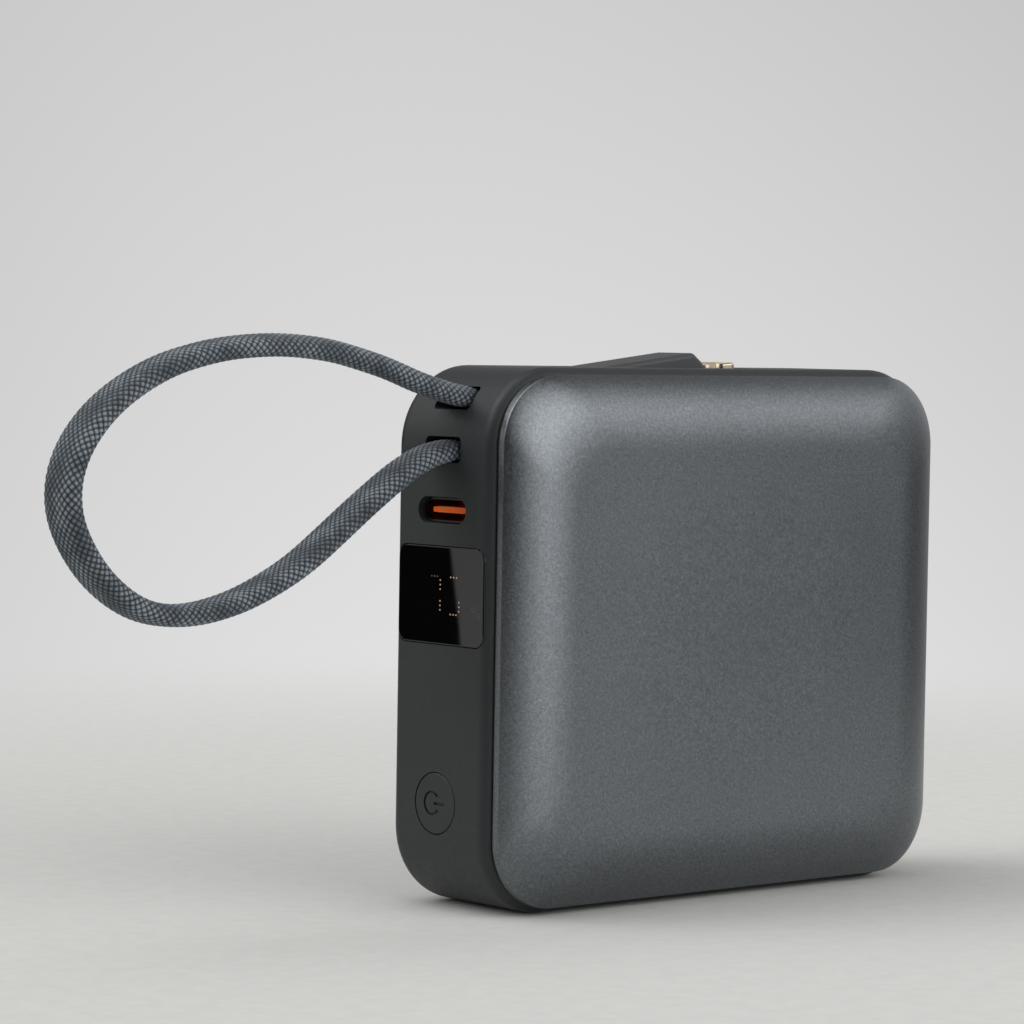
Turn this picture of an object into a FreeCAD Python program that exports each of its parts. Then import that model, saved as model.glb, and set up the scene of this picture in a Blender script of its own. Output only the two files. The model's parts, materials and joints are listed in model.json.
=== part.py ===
import FreeCAD, Part
import Sketcher
import math
import os
from FreeCAD import Vector

# Pocket power bank: a plastic ring frame closed by two pillow-shaped metal
# skins, with a braided charging cable that leaves one slot of the narrow side
# as a carry loop, goes back in through a second slot and ends in a small plug
# stowed in a recess on top.
# Millimetres.  Origin: middle of the base, +Z up, front skin to -Y, the side
# with display, socket and button to -X.

doc = FreeCAD.newDocument("power_bank")
sheet = doc.addObject("Spreadsheet::Sheet", "params")
sheet.Label = "params"

VALUES = {}
_row = [1]


def cell(alias, value):
    """one driving dimension: a labelled row of the sheet"""
    n = _row[0]
    _row[0] += 1
    sheet.set("A%d" % n, alias)
    sheet.set("B%d" % n, str(value))
    sheet.setAlias("B%d" % n, alias)
    VALUES[alias] = value
    return "params." + alias


for alias, value in [
    # overall frame
    ("width", 82.0), ("height", 72.0), ("depth", 19.6),
    ("corner_radius", 10.8), ("edge_radius", 1.8),
    ("wall", 2.8), ("rebate_inset", 2.0), ("rebate_depth", 2.2),
    # metal skins
    ("seam_gap", 0.25), ("skin_inset", 0.95), ("rear_inset", 2.2), ("skin_wall", 0.8),
    ("band", 1.1), ("dome_rise", 3.7), ("dome_roll", 10.0),
    ("carrier_wall", 1.0), ("bond_gap", 0.05),
    # display window
    ("window_width", 17.6), ("window_height", 13.0), ("window_corner", 1.7),
    ("window_depth", 1.25), ("window_level", 41.8), ("window_gap", 0.06),
    ("window_ledge", 1.1),
    # power button
    ("button_diameter", 8.1), ("button_gap", 0.12), ("button_level", 14.3),
    ("button_travel", 0.4), ("button_flange", 9.7), ("button_offset", 0.5),
    # socket
    ("socket_width", 9.7), ("socket_height", 3.5), ("socket_level", 53.0),
    ("shell_width", 8.94), ("shell_height", 3.2), ("shell_wall", 0.25),
    ("shell_recess", 1.0),
    # cable slots
    ("slot_width", 7.2), ("slot_height", 3.4), ("slot_corner", 0.7),
    ("slot_low_level", 61.0), ("slot_high_level", 67.75), ("slot_high_height", 3.1),
    # cable, an oval of two diameters
    ("cable_wide", 5.9), ("cable_thick", 2.9),
    # plug recess on top
    ("stow_start", -19.6), ("stow_end", 12.4), ("stow_width", 8.3),
    ("stow_corner", 1.6), ("stow_floor", 67.6),
    # main board
    ("board_plane", -33.0), ("board_thick", 1.0), ("board_width", 17.2),
    ("board_low", 6.0), ("board_high", 56.2), ("post_level", 26.4),
    ("post_spread", 5.6), ("post_diameter", 3.9), ("pilot_diameter", 1.6),
    # cells
    ("cell_start", -26.6), ("cell_length", 58.5), ("cell_height", 57.6),
    ("cell_base", 4.6), ("cell_thick", 10.9), ("tape_thick", 0.4),
    ("foam_thick", 1.6),
]:
    cell(alias, value)
doc.recompute()
V = VALUES
W2 = "params.width/2"
ROOT_X = "-params.width/2"


# ---------------------------------------------------------------- helpers
def plane_of(body, role):
    for f in body.Origin.OriginFeatures:
        if f.Role == role:
            return f
    raise RuntimeError(role)


def new_body(label):
    b = doc.addObject("PartDesign::Body", label)
    b.Label = label
    return b


def sketch_on(body, name, role, off=(None, None, None)):
    s = body.newObject("Sketcher::SketchObject", name)
    s.AttachmentSupport = [(plane_of(body, role), "")]
    s.MapMode = "FlatFace"
    for axis, expr in zip("xyz", off):
        if expr is not None:
            s.setExpression("AttachmentOffset.Base." + axis, expr)
    return s


def rounded(body, name, role, wid, hei, rad, off=(None, None, None)):
    """rounded rectangle centred on the sketch origin, sizes by expression"""
    s = sketch_on(body, name, role, off)
    w, h, r = 20.0, 10.0, 2.0
    L = lambda a, b: Part.LineSegment(Vector(a[0], a[1], 0), Vector(b[0], b[1], 0))

    def A(cx, cy, a0, a1):
        return Part.ArcOfCircle(Part.Circle(Vector(cx, cy, 0), Vector(0, 0, 1), r),
                                math.radians(a0), math.radians(a1))
    s.addGeometry([
        L((-w / 2 + r, h / 2), (w / 2 - r, h / 2)),      # 0 top
        A(w / 2 - r, h / 2 - r, 0, 90),                  # 1
        L((w / 2, h / 2 - r), (w / 2, -h / 2 + r)),      # 2 right
        A(w / 2 - r, -h / 2 + r, 270, 360),              # 3
        L((w / 2 - r, -h / 2), (-w / 2 + r, -h / 2)),    # 4 bottom
        A(-w / 2 + r, -h / 2 + r, 180, 270),             # 5
        L((-w / 2, -h / 2 + r), (-w / 2, h / 2 - r)),    # 6 left
        A(-w / 2 + r, h / 2 - r, 90, 180),               # 7
    ], False)
    C = Sketcher.Constraint
    s.addConstraint([
        C("Tangent", 0, 2, 1, 2), C("Tangent", 1, 1, 2, 1),
        C("Tangent", 2, 2, 3, 2), C("Tangent", 3, 1, 4, 1),
        C("Tangent", 4, 2, 5, 2), C("Tangent", 5, 1, 6, 1),
        C("Tangent", 6, 2, 7, 2), C("Tangent", 7, 1, 0, 1),
        C("Horizontal", 0), C("Vertical", 2), C("Horizontal", 4), C("Vertical", 6),
        C("Equal", 1, 3), C("Equal", 1, 5), C("Equal", 1, 7),
        C("Symmetric", 0, 1, 4, 1, -1, 1),
    ])
    i = s.addConstraint(C("DistanceX", 6, 1, 2, 1, w)); s.renameConstraint(i, "wid")
    j = s.addConstraint(C("DistanceY", 4, 1, 0, 1, h)); s.renameConstraint(j, "hei")
    k = s.addConstraint(C("Radius", 1, r)); s.renameConstraint(k, "corner")
    s.setExpression("Constraints.wid", wid)
    s.setExpression("Constraints.hei", hei)
    s.setExpression("Constraints.corner", rad)
    return s


def circle(body, name, role, dia, off=(None, None, None)):
    s = sketch_on(body, name, role, off)
    s.addGeometry(Part.Circle(Vector(0, 0, 0), Vector(0, 0, 1), 3.0), False)
    s.addConstraint(Sketcher.Constraint("Coincident", 0, 3, -1, 1))
    i = s.addConstraint(Sketcher.Constraint("Diameter", 0, 6.0))
    s.renameConstraint(i, "dia")
    s.setExpression("Constraints.dia", dia)
    return s


def pad(body, name, sketch, length, mid=False, rev=False):
    p = body.newObject("PartDesign::Pad", name)
    p.Profile = sketch
    p.setExpression("Length", length)
    p.Midplane = mid
    p.Reversed = rev
    sketch.Visibility = False
    return p


def pocket(body, name, sketch, length, mid=False, rev=False):
    before = body.Shape.Volume
    p = body.newObject("PartDesign::Pocket", name)
    p.Profile = sketch
    p.setExpression("Length", length)
    p.Midplane = mid
    p.Reversed = rev
    doc.recompute()
    if not body.Shape.Volume < before - 1e-3:
        raise RuntimeError("pocket %s cuts nothing" % name)
    return p


def fillet(body, name, edges, radius):
    last = body.Tip
    f = body.newObject("PartDesign::Fillet", name)
    f.Base = (last, edges)
    f.setExpression("Radius", radius)
    return f


def edges_where(shape, test):
    return ["Edge%d" % (i + 1) for i, e in enumerate(shape.Edges) if test(e)]


def box(label, x, y, z, dx, dy, dz):
    """box from its lowest corner and its lengths"""
    b = doc.addObject("Part::Box", label)
    b.Label = label
    for prop, expr in (("Placement.Base.x", x), ("Placement.Base.y", y), ("Placement.Base.z", z),
                       ("Length", dx), ("Width", dy), ("Height", dz)):
        b.setExpression(prop, str(expr))
    return b


ROT = {"x": FreeCAD.Rotation(Vector(0, 1, 0), 90), "y": FreeCAD.Rotation(Vector(1, 0, 0), -90),
       "z": FreeCAD.Rotation()}


def cyl(label, x, y, z, dia, length, axis="x"):
    """cylinder that starts at the point and runs in + axis direction"""
    c = doc.addObject("Part::Cylinder", label)
    c.Label = label
    c.Placement = FreeCAD.Placement(Vector(), ROT[axis])
    for prop, expr in (("Placement.Base.x", x), ("Placement.Base.y", y), ("Placement.Base.z", z),
                       ("Radius", "(%s)/2" % dia), ("Height", length)):
        c.setExpression(prop, str(expr))
    return c


def boolean(kind, label, base, tools):
    """Part::Cut / Part::MultiFuse tree node"""
    if kind == "Cut":
        cur = base
        for n, t in enumerate(tools):
            o = doc.addObject("Part::Cut", label if n == len(tools) - 1 else label + "_step%d" % n)
            o.Base, o.Tool = cur, t
            cur = o
    else:
        cur = doc.addObject("Part::MultiFuse", label)
        cur.Shapes = [base] + list(tools)
    cur.Label = label
    return cur


def rounded_edges(label, base, radius, test):
    """Part::Fillet of the edges that the test picks"""
    doc.recompute()
    f = doc.addObject("Part::Fillet", label)
    f.Label = label
    f.Base = base
    f.Edges = [(i + 1, radius, radius) for i, e in enumerate(base.Shape.Edges) if test(e)]
    return f


def group(label, members):
    """separate solids kept as one node (a compound)"""
    g = doc.addObject("Part::Compound", label)
    g.Label = label
    g.Links = members
    return g


NODES = {}
D2 = "params.depth/2"
MIDZ = "params.height/2"

# ---------------------------------------------------------------- mid_frame
frame = new_body("mid_frame")
s = rounded(frame, "frame_outline", "XZ_Plane", "params.width", "params.height",
            "params.corner_radius", (None, MIDZ, None))
pad(frame, "frame_block", s, "params.depth", mid=True)
doc.recompute()
s = rounded(frame, "frame_bore", "XZ_Plane", "params.width-2*params.wall", "params.height-2*params.wall",
            "params.corner_radius-params.wall", (None, MIDZ, None))
pocket(frame, "frame_inside", s, "params.depth+2", mid=True)
for side, sign in (("front", 1), ("rear", -1)):
    s = rounded(frame, side + "_rebate_line", "XZ_Plane",
                "params.width-2*params.rebate_inset", "params.height-2*params.rebate_inset",
                "params.corner_radius-params.rebate_inset",
                (None, MIDZ, "%d*(params.depth/2+1)" % sign))
    pocket(frame, side + "_rebate", s, "params.rebate_depth+1", rev=(sign < 0))
doc.recompute()
yo = V["depth"] / 2


def outer_edge(e):
    bb = e.BoundBox
    if abs(abs(bb.YMin) - yo) > 1e-6 or abs(abs(bb.YMax) - yo) > 1e-6 or bb.YLength > 1e-6:
        return False
    lim = 0.3
    w, h, r = V["width"] / 2, V["height"], V["corner_radius"]
    for v in e.Vertexes:
        onx = abs(abs(v.X) - w) < lim
        onz = v.Z < lim or v.Z > h - lim
        if not (onx or onz):
            return False
    return True


fillet(frame, "edge_round", edges_where(frame.Shape, outer_edge), "params.edge_radius")
doc.recompute()

# posts for the main board, from the side wall inward
for tag, sign in (("near", -1), ("far", 1)):
    s = circle(frame, "post_line_" + tag, "YZ_Plane", "params.post_diameter",
               ("%d*params.post_spread" % sign, "params.post_level", "-params.width/2+params.wall-0.6"))
    pad(frame, "post_" + tag, s, "params.board_plane+params.width/2-params.wall+0.6")
doc.recompute()
for tag, sign in (("near", -1), ("far", 1)):
    s = circle(frame, "pilot_line_" + tag, "YZ_Plane", "params.pilot_diameter",
               ("%d*params.post_spread" % sign, "params.post_level", "params.board_plane"))
    pocket(frame, "pilot_" + tag, s, "4.2")

# shelf under the crimp block, with two pilot holes
s = rounded(frame, "shelf_line", "YZ_Plane", "13", "1.5", "0.3",
            (None, "params.slot_low_level-2.55-0.75", "-params.width/2+params.wall-0.4"))
pad(frame, "anchor_shelf", s, "7.2")
doc.recompute()
for tag, yy in (("near", "-4.75"), ("far", "4.75")):
    s = circle(frame, "shelf_pilot_line_" + tag, "XY_Plane", "1.6",
               ("-params.width/2+params.wall+4", yy, "params.slot_low_level-2.0"))
    pocket(frame, "shelf_pilot_" + tag, s, "3")

# display window: shallow recess with a smaller opening behind it
s = rounded(frame, "window_line", "YZ_Plane", "params.window_width+2*params.window_gap",
            "params.window_height+2*params.window_gap", "params.window_corner+params.window_gap",
            (None, "params.window_level", "-params.width/2-1"))
pocket(frame, "window_recess", s, "params.window_depth+0.2+1", rev=True)
s = rounded(frame, "window_back_line", "YZ_Plane", "params.window_width-2*params.window_ledge",
            "params.window_height-2*params.window_ledge", "0.8",
            (None, "params.window_level", "-params.width/2-1"))
pocket(frame, "window_opening", s, "params.wall+2", rev=True)
# button hole
s = circle(frame, "button_line", "YZ_Plane", "params.button_diameter+2*params.button_gap",
           ("params.button_offset", "params.button_level", "-params.width/2-1"))
pocket(frame, "button_hole", s, "params.wall+2", rev=True)
# round seat for the button's flange, where the bottom corner thickens the wall
s = circle(frame, "button_seat_line", "YZ_Plane", "params.button_flange+0.8",
           ("params.button_offset", "params.button_level", "-params.width/2+params.wall"))
pocket(frame, "button_seat", s, "3.5", rev=True)
# socket opening with a small lead-in
s = rounded(frame, "socket_line", "YZ_Plane", "params.socket_width", "params.socket_height",
            "params.socket_height/2-0.01", (None, "params.socket_level", "-params.width/2-1"))
pocket(frame, "socket_opening", s, "params.wall+2", rev=True)
# cable slots, both cut level
s = rounded(frame, "slot_low_line", "YZ_Plane", "params.slot_width", "params.slot_height",
            "params.slot_corner", (None, "params.slot_low_level", "-params.width/2-1"))
pocket(frame, "slot_low", s, "5.5", rev=True)
s = rounded(frame, "slot_high_line", "YZ_Plane", "params.slot_width", "params.slot_high_height",
            "params.slot_corner", (None, "params.slot_high_level", "-params.width/2-1"))
pocket(frame, "slot_high", s, "15", rev=True)
# plug recess through the top wall
s = rounded(frame, "stow_line", "XY_Plane", "params.stow_end-params.stow_start", "params.stow_width",
            "params.stow_corner", ("(params.stow_end+params.stow_start)/2", None, "params.height+1"))
pocket(frame, "stow_opening", s, "params.wall+2")
doc.recompute()
NODES["mid_frame"] = frame

# ---------------------------------------------------------------- skins and carriers
ROLL = [0.0, 0.04, 0.13, 0.3, 0.55, 0.8, 1.0]      # share of the roll-over, edge to plateau


def rise(t):
    return (1 - (1 - t) ** 2.35) ** 0.86


def pillow(body, tag, sign, off, bottom, subtract=False):
    """pillow of the skin's outer form moved inward by off (expression), from
    the level `bottom` (expression, from the mid plane) to its plateau"""
    band_top = "(params.depth/2+params.seam_gap+params.band)"
    edge = "params.skin_inset" if sign > 0 else "params.rear_inset"
    s = rounded(body, tag + "_foot", "XZ_Plane",
                "params.width-2*%s-2*(%s)" % (edge, off),
                "params.height-2*%s-2*(%s)" % (edge, off),
                "params.corner_radius-0.45-%s-(%s)" % (edge, off),
                (None, MIDZ, "%d*(%s)" % (sign, bottom)))
    length = "%s-(%s)" % (band_top, bottom)
    if subtract:
        pocket(body, tag + "_band", s, length, rev=(sign > 0))
    else:
        pad(body, tag + "_band", s, length, rev=(sign < 0))
    doc.recompute()
    sk = []
    for n, t in enumerate(ROLL):
        f = rise(t)
        inset = "(%s+%.4f*(params.dome_roll-0.35*(%s)))" % (off, t, off)
        level = "(%s+%.5f*(params.dome_rise-(%s)))" % (band_top, f, off)
        sk.append(rounded(body, "%s_ring%d" % (tag, n), "XZ_Plane",
                          "params.width-2*%s-2*%s" % (edge, inset),
                          "params.height-2*%s-2*%s" % (edge, inset),
                          "params.corner_radius-0.45-%s-(%s)-%.4f*(params.dome_roll-0.35*(%s))" % (edge, off, 0.42 * t, off),
                          (None, MIDZ, "%d*%s" % (sign, level))))
    kind = "PartDesign::SubtractiveLoft" if subtract else "PartDesign::AdditiveLoft"
    before = body.Shape.Volume
    lo = body.newObject(kind, tag + "_dome")
    lo.Profile = sk[0]
    lo.Sections = sk[1:]
    lo.Ruled = False
    lo.Closed = False
    doc.recompute()
    if abs(body.Shape.Volume - before) < 1:
        raise RuntimeError("dome %s changed nothing" % tag)
    return lo


for side, sign in (("front", 1), ("rear", -1)):
    seam = "params.depth/2+params.seam_gap"
    cover = new_body(side + "_cover")
    pillow(cover, side + "_skin", sign, "0", seam)
    full = cover.Shape.Volume
    pillow(cover, side + "_hollow", sign, "params.skin_wall", seam, subtract=True)
    print(side + "_cover", round(full, 1), round(cover.Shape.Volume, 1))
    NODES[side + "_cover"] = cover

    carrier = new_body(side + "_carrier")
    inner = "params.skin_wall+params.bond_gap"
    face = "params.depth/2"
    pillow(carrier, side + "_core", sign, inner, face)
    # plate that drops into the rebate of the frame
    s = rounded(carrier, side + "_plate_line", "XZ_Plane",
                "params.width-2*params.rebate_inset-0.12", "params.height-2*params.rebate_inset-0.12",
                "params.corner_radius-params.rebate_inset-0.06",
                (None, MIDZ, "%d*params.depth/2" % sign))
    pad(carrier, side + "_plate", s, "params.rebate_depth-0.2", rev=(sign > 0))
    doc.recompute()
    pillow(carrier, side + "_core_hollow", sign, inner + "+params.carrier_wall",
           "params.depth/2-params.rebate_depth+0.2", subtract=True)
    print(side + "_carrier", round(carrier.Shape.Volume, 1))
    NODES[side + "_carrier"] = carrier

    gasket = new_body(side + "_gasket")
    s = rounded(gasket, side + "_gasket_out", "XZ_Plane",
                "params.width-2*params.rebate_inset-0.3", "params.height-2*params.rebate_inset-0.3",
                "params.corner_radius-params.rebate_inset-0.15",
                (None, MIDZ, "%d*(params.depth/2-params.rebate_depth)" % sign))
    pad(gasket, side + "_gasket_pad", s, "0.2", rev=(sign < 0))
    doc.recompute()
    s = rounded(gasket, side + "_gasket_in", "XZ_Plane", "params.width-2*params.wall", "params.height-2*params.wall",
                "params.corner_radius-params.wall", (None, MIDZ, None))
    pocket(gasket, side + "_gasket_hole", s, "3*params.depth", mid=True)
    NODES[side + "_gasket"] = gasket

# ---------------------------------------------------------------- display
window = new_body("display_window")
s = rounded(window, "glass_line", "YZ_Plane", "params.window_width", "params.window_height",
            "params.window_corner", (None, "params.window_level", "-params.width/2"))
pad(window, "glass", s, "params.window_depth")
doc.recompute()
fillet(window, "glass_edge", edges_where(window.Shape, lambda e: abs(e.BoundBox.XMin + V["width"] / 2) < 1e-6
                                         and e.BoundBox.XLength < 1e-6), "0.22")
NODES["display_window"] = window

dgask = new_body("display_gasket")
s = rounded(dgask, "dgasket_out", "YZ_Plane", "params.window_width-0.3", "params.window_height-0.3", "1.4",
            (None, "params.window_level", "-params.width/2+params.window_depth"))
pad(dgask, "dgasket_pad", s, "0.2")
doc.recompute()
s = rounded(dgask, "dgasket_in", "YZ_Plane", "params.window_width-2*params.window_ledge",
            "params.window_height-2*params.window_ledge", "0.8",
            (None, "params.window_level", "-params.width/2"))
pocket(dgask, "dgasket_hole", s, "6", mid=True)
NODES["display_gasket"] = dgask

NODES["display_module"] = box("display_module", "-params.width/2+params.window_depth+0.45", "-7.1",
                              "params.window_level-5.1", "3.6", "14.2", "10.2")
mod_back = V["window_depth"] + 0.45 + 3.6 - V["width"] / 2

# digit segments as rows of dots, a bar and a percent sign, standing on the
# face of the module: separate small solids in one node
dots = []
DOT = [(-0.15, y) for y in ()]


def dot(n, y, z, dia="0.42"):
    dots.append(cyl("dot_%02d" % n, "-params.width/2+params.window_depth+0.15", "%.3f" % y,
                    "params.window_level+(%.3f)" % z, dia, "0.3"))


n = 0
# each digit: seven segments of three dots; y runs to the reader's left
def digit(y0, segs):
    global n
    dw, dh = 3.0, 5.4
    pos = {"a": [(-dw / 2 + 0.75 * (k + 1), dh / 2) for k in range(3)],
           "g": [(-dw / 2 + 0.75 * (k + 1), 0) for k in range(3)],
           "d": [(-dw / 2 + 0.75 * (k + 1), -dh / 2) for k in range(3)],
           "f": [(dw / 2, dh / 4 + 0.75 * (k - 1)) for k in range(3)],
           "b": [(-dw / 2, dh / 4 + 0.75 * (k - 1)) for k in range(3)],
           "e": [(dw / 2, -dh / 4 + 0.75 * (k - 1)) for k in range(3)],
           "c": [(-dw / 2, -dh / 4 + 0.75 * (k - 1)) for k in range(3)]}
    for sg in segs:
        for (yy, zz) in pos[sg]:
            dot(n, y0 + yy, zz)
            n += 1


digit(1.55, "abcdefg")
digit(-2.85, "abcdefg")
for (yy, zz) in ((-6.5, -1.2), (-5.3, -2.4), (-6.1, -2.0), (-5.7, -1.6)):
    dot(n, yy, zz, "0.34")
    n += 1
NODES["display_dots"] = group("display_dots", dots)

pins = [cyl("dpin_%d" % k, "%.3f" % mod_back, "%.2f" % (-5.0 + 2.5 * (k % 5)),
            "params.window_level+(%.1f)" % (3.5 if k < 5 else -3.5), "0.5",
            "params.board_plane-(%.3f)" % mod_back) for k in range(10)]
NODES["display_pins"] = group("display_pins", pins)

# ---------------------------------------------------------------- power button
button = new_body("power_button")
s = circle(button, "cap_line", "YZ_Plane", "params.button_diameter",
           ("params.button_offset", "params.button_level", "-params.width/2-0.02"))
pad(button, "cap", s, "params.wall+0.12")
s = circle(button, "flange_line", "YZ_Plane", "params.button_flange",
           ("params.button_offset", "params.button_level", "-params.width/2+params.wall+0.1"))
pad(button, "flange", s, "0.6")
s = circle(button, "stem_line", "YZ_Plane", "2.2",
           ("params.button_offset", "params.button_level", "-params.width/2+params.wall+0.7"))
pad(button, "stem", s, "0.5")
doc.recompute()
fillet(button, "cap_edge", edges_where(button.Shape, lambda e: e.BoundBox.XMax < -V["width"] / 2 + 0.01
                                       and e.BoundBox.XLength < 1e-6), "0.2")
doc.recompute()
# engraved power icon: open ring with a bar, gap and bar towards the front
ring = sketch_on(button, "icon_ring", "YZ_Plane", ("params.button_offset+0.65", "params.button_level", "-params.width/2-0.5"))
ro, ri, g0 = 1.65, 1.3, 38
aR = lambda r, a: Part.ArcOfCircle(Part.Circle(Vector(0, 0, 0), Vector(0, 0, 1), r),
                                   math.radians(180 + a), math.radians(540 - a))
P = lambda r, a: Vector(r * math.cos(math.radians(a)), r * math.sin(math.radians(a)), 0)
ring.addGeometry([aR(ro, g0), aR(ri, g0),
                  Part.LineSegment(P(ri, 180 + g0), P(ro, 180 + g0)),
                  Part.LineSegment(P(ri, 180 - g0), P(ro, 180 - g0))], False)
ring.addConstraint([
    Sketcher.Constraint("Coincident", 0, 3, -1, 1), Sketcher.Constraint("Coincident", 1, 3, -1, 1),
    Sketcher.Constraint("Coincident", 2, 1, 1, 1), Sketcher.Constraint("Coincident", 2, 2, 0, 1),
    Sketcher.Constraint("Coincident", 3, 1, 1, 2), Sketcher.Constraint("Coincident", 3, 2, 0, 2)])
pocket(button, "icon_ring_cut", ring, "0.75", rev=True)
bar = rounded(button, "icon_bar", "YZ_Plane", "2.1", "0.36", "0.12",
              ("params.button_offset-0.85", "params.button_level", "-params.width/2-0.5"))
pocket(button, "icon_bar_cut", bar, "0.75", rev=True)
NODES["power_button"] = button

sw_front = "params.board_plane-2.6"
sw = boolean("Cut", "tact_switch",
             box("switch_block", sw_front, "params.button_offset-3", "params.button_level-3", "2.6", "6", "6"),
             [cyl("switch_bore", "params.board_plane-2.6-1", "params.button_offset", "params.button_level", "3.2", "2.9")])
NODES["tact_switch"] = sw
plung = cyl("switch_plunger", "-params.width/2+params.wall+1.2", "params.button_offset", "params.button_level", "3.0",
            "params.board_plane-2.6+1.3+params.width/2-params.wall-1.2")
NODES["switch_plunger"] = plung
NODES["switch_dome"] = cyl("switch_dome", "params.board_plane-0.7-0.15", "params.button_offset", "params.button_level", "3.0", "0.15")

# ---------------------------------------------------------------- socket
shell = new_body("usb_shell")
s = rounded(shell, "shell_out", "YZ_Plane", "params.shell_width", "params.shell_height",
            "params.shell_height/2-0.01", (None, "params.socket_level", "-params.width/2+params.shell_recess"))
pad(shell, "shell_block", s, "params.board_plane+params.width/2-params.shell_recess")
doc.recompute()
s = rounded(shell, "shell_in", "YZ_Plane", "params.shell_width-2*params.shell_wall",
            "params.shell_height-2*params.shell_wall", "params.shell_height/2-params.shell_wall-0.01",
            (None, "params.socket_level", "-params.width/2-1"))
pocket(shell, "shell_mouth", s, "params.board_plane+params.width/2+1-0.4", rev=True)
NODES["usb_shell"] = shell

liner = new_body("usb_liner")
s = rounded(liner, "liner_line", "YZ_Plane", "params.shell_width-2*params.shell_wall-0.04",
            "params.shell_height-2*params.shell_wall-0.04", "params.shell_height/2-params.shell_wall-0.03",
            (None, "params.socket_level", "params.board_plane-0.4-1.2"))
pad(liner, "liner_block", s, "1.2")
NODES["usb_liner"] = liner

tongue = new_body("usb_tongue")
s = rounded(tongue, "tongue_line", "YZ_Plane", "6.7", "0.7", "0.2",
            (None, "params.socket_level", "-params.width/2+params.shell_recess+0.35"))
pad(tongue, "tongue_block", s, "params.board_plane-0.4-1.2+params.width/2-params.shell_recess-0.35")
NODES["usb_tongue"] = tongue
pads = []
for k in range(12):
    for top in (0, 1):
        z0 = "params.socket_level+0.35" if top else "params.socket_level-0.35-0.06"
        pads.append(box("contact_%d_%d" % (k, top), "-params.width/2+params.shell_recess+0.75",
                        "%.3f" % (-2.75 + 0.5 * k - 0.125), z0, "3.6", "0.25", "0.06"))
NODES["usb_contacts"] = group("usb_contacts", pads)

# ---------------------------------------------------------------- main board and parts
pcb_raw = box("board_blank", "params.board_plane", "-params.board_width/2", "params.board_low",
              "params.board_thick", "params.board_width", "params.board_high-params.board_low")
holes = [cyl("board_hole_%d" % i, "params.board_plane-1", "%d*params.post_spread" % sgn,
             "params.post_level", "2.3", "4") for i, sgn in enumerate((-1, 1))]
NODES["main_pcb"] = boolean("Cut", "main_pcb", pcb_raw, holes)
back = "params.board_plane+params.board_thick"
NODES["controller_chip"] = box("controller_chip", back, "-3.5", "params.post_level-13", "0.9", "7", "7")
ind = box("inductor_block", back, "-3.6", "params.post_level+5.2", "3.2", "7.2", "7.2")
NODES["power_inductor"] = rounded_edges("power_inductor", ind, 1.0,
                                        lambda e: e.BoundBox.XLength > 2)
NODES["capacitors"] = group("capacitors", [
    box("cap_%d" % k, back, "%.2f" % y, "params.post_level+(%.2f)" % z, "1.3", "1.6", "2.2")
    for k, (y, z) in enumerate(((-7.2, -5.2), (-7.2, -15.4), (5.6, -5.2), (5.6, -15.4), (-7.2, -12),
                                (5.6, -12), (-7.2, -8.6), (5.6, -8.6)))])
NODES["mosfets"] = group("mosfets", [
    box("fet_%d" % k, back, "%.2f" % y, "params.post_level+(%.2f)" % z, "0.9", "3.2", "3.2")
    for k, (y, z) in enumerate(((-4.2, 15), (1.0, 15), (-4.2, 20), (1.0, 20)))])
scr = []
for i, sgn in enumerate((-1, 1)):
    head = cyl("screw_head_%d" % i, back, "%d*params.post_spread" % sgn, "params.post_level", "3.4", "1.1")
    shank = cyl("screw_shank_%d" % i, "params.board_plane-3.4", "%d*params.post_spread" % sgn,
                "params.post_level", "params.pilot_diameter-0.04", "3.4+params.board_thick+0.3")
    sock = cyl("screw_socket_%d" % i, "params.board_plane+params.board_thick+0.5",
               "%d*params.post_spread" % sgn, "params.post_level", "1.3", "2")
    scr.append(boolean("Cut", "pcb_screw_%d" % i, boolean("Fuse", "screw_solid_%d" % i, head, [shank]), [sock]))
NODES["pcb_screws"] = group("pcb_screws", scr)

# ---------------------------------------------------------------- cells
for label, y0 in (("cell_front", "-params.tape_thick/2-params.cell_thick"), ("cell_rear", "params.tape_thick/2")):
    raw = box(label + "_block", "params.cell_start", y0, "params.cell_base",
              "params.cell_length", "params.cell_thick", "params.cell_height")
    NODES[label] = rounded_edges(label, raw, 2.2, lambda e: e.BoundBox.XLength > 10 or e.BoundBox.ZLength > 10)
NODES["cell_tape"] = box("cell_tape", "params.cell_start+3", "-params.tape_thick/2", "params.cell_base+3",
                         "params.cell_length-6", "params.tape_thick", "params.cell_height-6")
for side, sign in (("front", -1), ("rear", 1)):
    y0 = ("-params.tape_thick/2-params.cell_thick-params.foam_thick" if sign < 0
          else "params.tape_thick/2+params.cell_thick")
    NODES[side + "_foam"] = box(side + "_foam", "params.cell_start+9", y0, "params.cell_base+8",
                                "params.cell_length-18", "params.foam_thick", "params.cell_height-16")
NODES["protection_board"] = box("protection_board", "params.cell_start-1.0", "-8", "params.cell_base+30",
                                "0.8", "16", "24")
NODES["cell_tabs"] = group("cell_tabs", [
    box("tab_%d" % k, "params.cell_start-0.2", "%.2f" % y, "params.cell_base+(%.1f)" % z, "0.2", "4", "5")
    for k, (y, z) in enumerate(((-7.5, 33), (-7.5, 46), (3.5, 33), (3.5, 46)))])
NODES["thermistor"] = cyl("thermistor", "params.cell_start-1.6", "0", "params.cell_base+14", "1.6", "1.6")

# leads from the protection strip down to the board: round tubes of lines and arcs


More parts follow.
